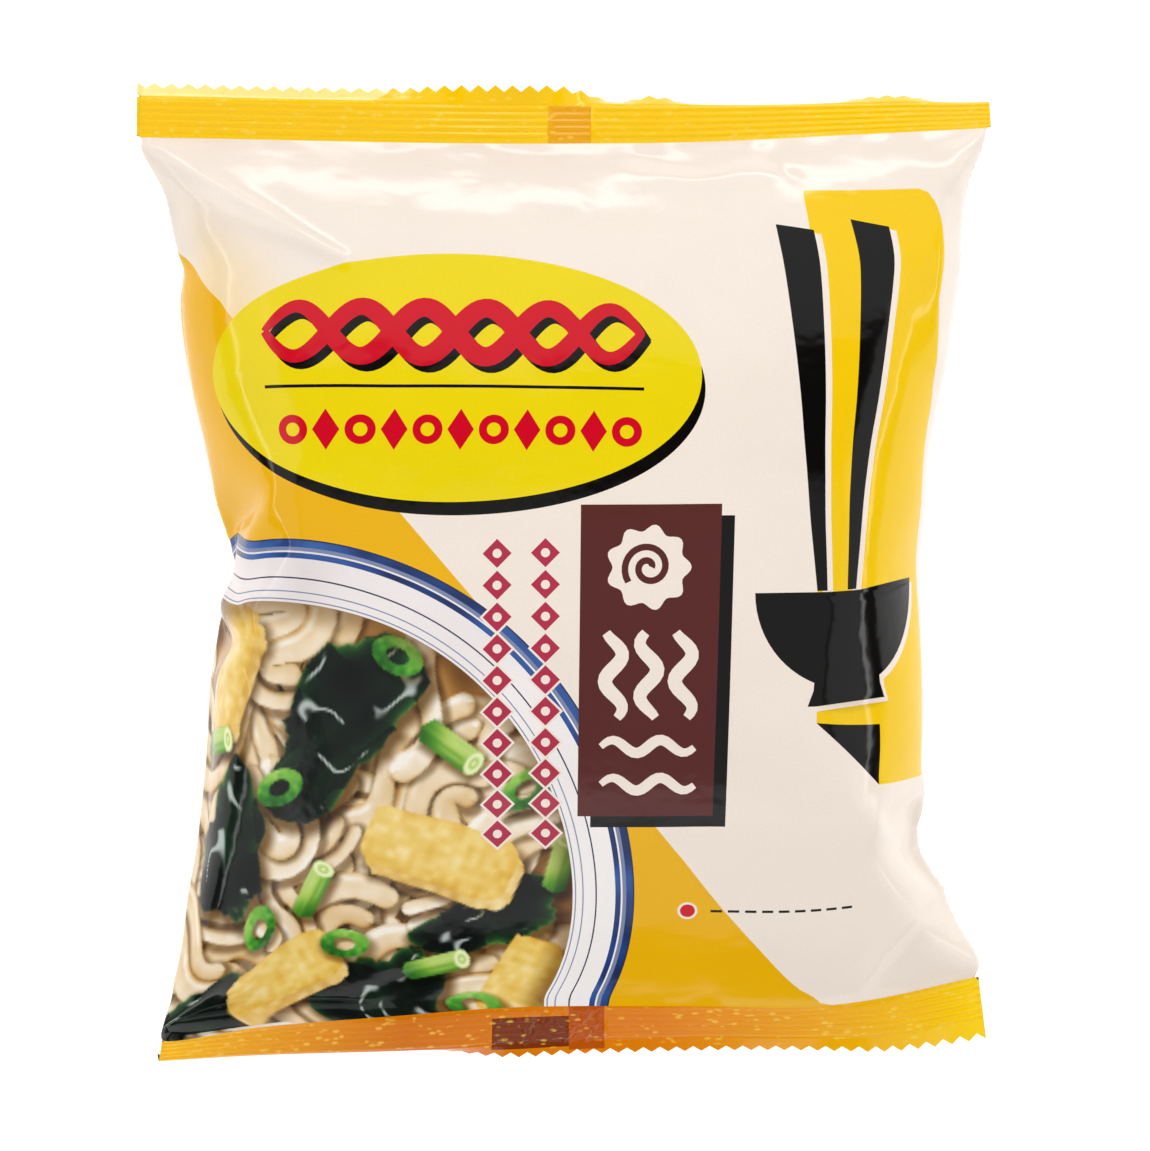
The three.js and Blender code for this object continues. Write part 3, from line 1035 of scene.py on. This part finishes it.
def webOutline(uLow, uHigh):
    # zigzag cuts at both ends; a tooth tip lies on each side fold, so both layers match
    half = crimp["toothPitch"] / 2
    us = np.arange(uLow, uHigh + half / 2, half)
    tooth = np.where(np.round(us / half).astype(int) % 2 == 0, 0.0, crimp["toothDepth"])
    lowEdge = np.stack([us, -bandLength(lowerSeal) + tooth], -1)
    highEdge = np.stack([us, pack["filmLength"] + bandLength(upperSeal) - tooth], -1)
    w = np.linspace(lowEdge[0, 1], highEdge[0, 1], 170)[1:-1]
    right = np.stack([0 * w + uHigh, w], -1)
    left = np.stack([0 * w + uLow, w[::-1]], -1)
    return np.concatenate([lowEdge, right, highEdge[::-1], left])


def lattice(low, high, dx, dy=None):
    # a grid of points; with no dy its rows are staggered, for triangles of equal sides
    rows = np.arange(low[1] + (dy or dx * 0.866) / 2, high[1], dy or dx * 0.866)
    x, y = np.meshgrid(np.arange(low[0] + dx / 2, high[0] - dx / 2, dx), rows)
    if dy is None:
        x = x + dx / 2 * (np.arange(len(rows)) % 2)[:, None]
    return np.stack([x.ravel(), y.ravel()], -1)


def keepClear(points, outlines, gap):
    # drops the points that lie closer than gap to an outline
    samples = []
    for ring in outlines:
        nextPoint = np.roll(ring, -1, 0)
        count = int(np.ceil(np.max(np.linalg.norm(nextPoint - ring, axis=1)) / gap)) + 1
        t = (np.arange(count) / count)[:, None, None]
        samples.append((ring * (1 - t) + nextPoint * t).reshape(-1, 2))
    cells = np.floor(np.concatenate(samples) / gap).astype(np.int64)
    code = lambda c: c[:, 0] * 1000003 + c[:, 1]
    taken = np.unique(code(cells))
    own = np.floor(points / gap).astype(np.int64)
    blocked = np.zeros(len(points), bool)
    for dx in (-1, 0, 1):
        for dy in (-1, 0, 1):
            blocked |= np.isin(code(own + (dx, dy)), taken)
    return points[~blocked]


def anticlockwise(ring):
    x, y = ring[:, 0], ring[:, 1]
    area = np.sum(x * np.roll(y, -1) - y * np.roll(x, -1))
    return ring if area > 0 else ring[::-1]


def bandPoints(uLow, uHigh):
    dx, dy = panelCut["bandCell"]
    uLow += dx / 2  # puts a column on each side fold
    length = pack["filmLength"]
    spans = [(-bandLength(lowerSeal), 0), (length, length + bandLength(upperSeal))]
    return [(lattice((uLow, low), (uHigh, high), dx, dy), 0.08) for low, high in spans]


def frontPoints():
    # a finer mesh carries the picture of the bowl
    uLow, uHigh = panelCut["front"]
    middle, reach = frontMiddle + bowlPicture["centre"], bowlPicture["radius"]
    seen = lambda p: (np.linalg.norm(p - middle, axis=1) < reach) & (p[:, 0] > -3) & (p[:, 1] > 0)
    plain = lattice((uLow, 0), (uHigh, pack["filmLength"]), panelCut["cell"])
    dense = lattice(middle - reach, middle + reach, panelCut["bowlCell"])
    return [(plain[~seen(plain)], 0.3), (dense[seen(dense)], 0.16)] + bandPoints(uLow, uHigh)


def backPoints():
    uLow, uHigh = panelCut["back"]
    plain = lattice((uLow, 0), (uHigh, pack["filmLength"]), panelCut["backCell"])
    return [(plain, 0.3)] + bandPoints(uLow, uHigh)


def addLook(mesh, flat, rgb, corner):
    # colour, place on the film and bake map of each corner
    rgba = np.ones((len(corner), 4))
    rgba[:, :3] = toLinear(rgb)
    ink = mesh.color_attributes.new("ink", "FLOAT_COLOR", "CORNER")
    ink.data.foreach_set("color", rgba.ravel())
    where = mesh.attributes.new("filmPlace", "FLOAT_VECTOR", "POINT")
    where.data.foreach_set("vector", np.column_stack([flat * mm, 0 * flat[:, 0]]).ravel())
    depth = np.maximum(-flat[:, 1], flat[:, 1] - pack["filmLength"])
    inBand = mesh.attributes.new("inBand", "FLOAT", "POINT")  # where the flecks are, short of the cut
    inBand.data.foreach_set("value", smoothStep(0.3, 0.7, depth) * smoothStep(9.6, 9.2, depth))
    uv = mesh.uv_layers.new(name="OFBake")
    start = (flat[:, 0].min(), panelCut["bakeStart"])
    uv.data.foreach_set("uv", ((flat[corner] - start) / panelCut["bakeSide"]).ravel())


def cornerVerts(mesh):
    index = np.empty(len(mesh.loops), int)
    mesh.loops.foreach_get("vertex_index", index)
    return index


def makePanel(name, span, fields, points, painted):
    # cuts the flat film along its print, then lays it over the filled shape
    outlines = [webOutline(*span)] + [anticlockwise(ring) + frontMiddle for ring, _ in fields]
    verts, rings = [], []
    for ring in outlines:
        rings.append(list(range(len(verts), len(verts) + len(ring))))
        verts.extend(Vector(p) for p in ring)
    for group, gap in points:
        verts.extend(Vector(p) for p in keepClear(group, outlines, gap))
    flat, _, faces, _, _, owners = geometry.delaunay_2d_cdt(verts, [], rings, 1, 1e-5, True)
    kept = [(face, max(owner)) for face, owner in zip(faces, owners) if 0 in owner]
    flat = np.array([tuple(v) for v in flat])
    place, normal = film.at(*flat.T)
    piece = addObject(name, place * mm, [face for face, _ in kept])
    mesh = piece.data
    corner = cornerVerts(mesh)
    owner = np.repeat([owner for _, owner in kept], 3)
    rgb = np.array([hexColour(inks[ink]) for ink in ["white"] + [ink for _, ink in fields]])[owner]
    for k, (_, ink) in enumerate(fields, 1):
        if ink in painted:
            mine = owner == k
            used, back = np.unique(corner[mine], return_inverse=True)
            rgb[mine] = painted[ink](flat[used] - frontMiddle)[back]
    addLook(mesh, flat, rgb, corner)
    mesh.shade_smooth()
    mesh.normals_split_custom_set_from_vertices(normal)
    print(name, len(mesh.polygons), "triangles")
    return piece


def makeFin():
    # the lengthways seal, folded flat against the back
    reach = fin["intoBands"]
    ws = np.arange(-reach, pack["filmLength"] + reach + 0.1, fin["step"])
    us = np.linspace(fin["left"], fin["right"], fin["columns"])
    lift = np.repeat([fin["thickness"], fin["gap"]], len(us))
    flat = np.array([(u, w) for w in ws for u in [*us, *us[::-1]]])
    place, normal = film.at(*flat.T)
    place += normal * np.tile(lift, len(ws))[:, None]
    index = np.arange(len(flat)).reshape(len(ws), -1)
    ends = [index[0, ::-1].tolist(), index[-1].tolist()]
    piece = addObject("back_fin", place * mm, tubeFaces(index) + ends)
    mesh = piece.data
    corner = cornerVerts(mesh)
    addLook(mesh, flat, np.tile(hexColour(fin["ink"]), (len(corner), 1)), corner)
    mesh.shade_smooth()
    mesh.set_sharp_from_angle(angle=math.radians(40))
    print("back_fin", len(mesh.polygons), "faces")
    return piece


front = makePanel("film_front", panelCut["front"], frontFields(), frontPoints(),
                  {"bowl": bowlColours, "glaze": glazeColours, "rimBlue": rimBlueColours,
                   "bandAmberShaded": lowerBandShadedColours, "amberGlow": amberGlowColours})
backEnds = np.array(panelCut["back"]) - frontMiddle[0] + (-2, 2)
back = makePanel("film_back", panelCut["back"], bandFields(*backEnds), backPoints(),
                 {"bandAmberShaded": lowerBandShadedColours})
backFin = makeFin()


def newMaterial(name):
    material = bpy.data.materials.new(name)
    material.use_nodes = True
    material.node_tree.nodes.clear()
    return material, material.node_tree


def addNode(tree, kind, settings=None, **inputs):
    # One node with its settings. An input, named or numbered as in _0, takes a value,
    # a socket, or a node for its first output.
    node = tree.nodes.new("ShaderNode" + kind)
    for key, value in (settings or {}).items():
        setattr(node, key, value)
    for key, value in inputs.items():
        socket = node.inputs[int(key[1:]) if key[1:].isdigit() else key.replace("_", " ")]
        if isinstance(value, bpy.types.Node):
            value = value.outputs[0]
        if isinstance(value, bpy.types.NodeSocket):
            tree.links.new(value, socket)
        else:
            socket.default_value = value
    return node


filmLook = {
    "toneScale": 55,  # lumps per metre: about 18 mm
    "tone": (0.97, 1.03),  # how far the ink density wanders
    "grainScale": 2600,  # gravure cells, drawn a little coarser than real
    "grain": (0.97, 1.03),
    "wavinessScale": 170,  # shallow waves of the film, about 6 mm
    "waviness": 0.00016,
    "roughness": (0.10, 0.17),
    "gloss": 0.29,  # the overprint varnish takes some of the shine
    "fleckScale": (450.0, 950.0, 1.0),  # cells of about 2.2 by 1.1 mm
    "fleckSize": 0.36,
    "fleckStrength": 0.5,
    "groupScale": 210,  # groups of flecks, about 5 mm
}


def gravurePrintedFilm():
    # polypropylene film printed by gravure: flat bright inks under a gloss that picks out each crease
    material, tree = newMaterial("gravurePrintedFilm")
    look, times = filmLook, {"operation": "MULTIPLY"}
    ink = addNode(tree, "Attribute", {"attribute_name": "ink"})
    where = addNode(tree, "Attribute", {"attribute_name": "filmPlace"}).outputs["Vector"]
    inBand = addNode(tree, "Attribute", {"attribute_name": "inBand"}).outputs["Fac"]

    # pale flecks in loose groups, only in the crimped bands
    stretched = addNode(tree, "Mapping", Vector=where, Scale=look["fleckScale"])
    cells = addNode(tree, "TexVoronoi", Vector=stretched, Scale=1.0, Randomness=1.0)
    size = look["fleckSize"]
    spots = addNode(tree, "MapRange", Value=cells, From_Min=size, From_Max=size * 0.6)
    groups = addNode(tree, "TexNoise", Vector=where, Scale=look["groupScale"], Detail=1.0)
    grouped = addNode(tree, "MapRange", Value=groups, From_Min=0.47, From_Max=0.53)
    inGroup = addNode(tree, "Math", times, _0=spots, _1=grouped)
    onBand = addNode(tree, "Math", times, _0=inGroup, _1=inBand)
    faint = addNode(tree, "Math", times, _0=onBand, _1=look["fleckStrength"])
    pale = (*toLinear(hexColour(inks["pale"])), 1)
    flecked = addNode(tree, "Mix", {"data_type": "RGBA"}, Factor=faint, _6=ink, _7=pale)

    # the ink lies a little thicker here and thinner there
    tone = addNode(tree, "TexNoise", Vector=where, Scale=look["toneScale"], Detail=3.0)
    grain = addNode(tree, "TexNoise", Vector=where, Scale=look["grainScale"], Detail=0.0)
    density = [addNode(tree, "MapRange", Value=noise, To_Min=look[key][0], To_Max=look[key][1])
               for noise, key in ((tone, "tone"), (grain, "grain"))]
    both = addNode(tree, "Math", times, _0=density[0], _1=density[1])
    inked = addNode(tree, "VectorMath", {"operation": "SCALE"}, _0=flecked.outputs[2], Scale=both)

    waves = addNode(tree, "TexNoise", Vector=where, Scale=look["wavinessScale"], Detail=2.0)
    bump = addNode(tree, "Bump", Strength=1.0, Distance=look["waviness"], Height=waves)
    low, high = look["roughness"]
    rough = addNode(tree, "MapRange", Value=tone, To_Min=low, To_Max=high)
    shader = addNode(tree, "BsdfPrincipled", IOR=1.46, Specular_IOR_Level=look["gloss"], Base_Color=inked,
                     Roughness=rough, Normal=bump)
    addNode(tree, "OutputMaterial", Surface=shader)
    return material


printed = gravurePrintedFilm()
for piece in (front, back, backFin):
    piece.data.materials.append(printed)
    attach(piece, "root")
    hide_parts("noodle_pack")
print("film printed")

# Studio, in metres
studio = {
    "cameraHeight": 1.25,
    "frameWidth": 0.2018,  # seen at the height of the seals
    "cameraShift": (0.0020, -0.00035),
    "floor": "#FAFAFA",
    "floorReach": 3,  # half its side
    "floorGlow": 0.4,  # the sheet is lit from below as well
    "fill": 0.08,  # light from all round
}
# Soft boxes: place, what each looks at, width and height, radiance
softBoxes = {
    "overheadBox": ((0.0, -0.50, 1.7), (0.0, -0.50, 0.0), (1.9, 1.75), 0.68),
    "topPanel": ((0.0, 1.15, 0.97), (0.0, 0.0, 0.0), (2.1, 0.95), 1.05),
    "bottomPanel": ((0.0, -1.15, 0.97), (0.0, 0.0, 0.0), (2.1, 0.95), 1.2),
    "leftPanel": ((-1.15, 0.0, 0.97), (0.0, 0.0, 0.0), (2.1, 0.95), 1.25),
    "rightPanel": ((1.15, 0.0, 0.97), (0.0, 0.0, 0.0), (2.1, 0.95), 1.15),
    "topStrip": ((0.2, 1.40, 0.40), (0.0, 0.0, 0.0), (1.6, 0.16), 8.4),
    "leftStrip": ((-1.38, 0.25, 0.45), (0.0, 0.0, 0.0), (1.4, 0.1), 6.5),
    "rightStrip": ((1.38, 0.10, 0.45), (0.0, 0.0, 0.0), (1.4, 0.1), 7.0),
}


def lookDown():
    camera = bpy.data.objects.new("camera", bpy.data.cameras.new("camera"))
    bpy.context.scene.collection.objects.link(camera)
    height = studio["cameraHeight"]
    camera.location = (*studio["cameraShift"], height)
    camera.data.sensor_width = 36
    camera.data.lens = 36 * (height - pack["restHeight"] * mm) / studio["frameWidth"]
    camera.data.clip_end = 20
    bpy.context.scene.camera = camera


def softBox(name, place, target, size, radiance):
    light = bpy.data.lights.new(name, "AREA")
    light.shape = "RECTANGLE"
    light.size, light.size_y = size
    light.energy = radiance * math.pi * size[0] * size[1]
    lamp = bpy.data.objects.new(name, light)
    bpy.context.scene.collection.objects.link(lamp)
    lamp.location = place
    lamp.rotation_euler = (Vector(place) - Vector(target)).to_track_quat("Z", "Y").to_euler()


def litSheet():
    # opal acrylic sheet lit from below: next to no structure, and hardly a shadow on it
    material, tree = newMaterial("litSheet")
    place = addNode(tree, "TexCoord")
    fibres = addNode(tree, "TexNoise", Vector=place.outputs["Object"], Scale=900.0, Detail=2.0)
    tone = addNode(tree, "MapRange", Value=fibres, To_Min=0.985, To_Max=1.0)
    white = toLinear(hexColour(studio["floor"]))
    colour = addNode(tree, "VectorMath", {"operation": "SCALE"}, _0=white, Scale=tone)
    shader = addNode(tree, "BsdfPrincipled", Roughness=0.85, IOR=1.45, Base_Color=colour,
                     Emission_Color=colour, Emission_Strength=studio["floorGlow"])
    addNode(tree, "OutputMaterial", Surface=shader)
    return material


lookDown()
floor = squareSheet("floor", studio["floorReach"], 0)
floor.data.materials.append(litSheet())
world = bpy.data.worlds.new("studio")
world.use_nodes = True
world.node_tree.nodes["Background"].inputs["Color"].default_value = (1, 1, 1, 1)
world.node_tree.nodes["Background"].inputs["Strength"].default_value = studio["fill"]
bpy.context.scene.world = world
for name, spec in softBoxes.items():
    softBox(name, *spec)
bpy.context.scene.view_settings.view_transform = "Standard"
print("studio lit")
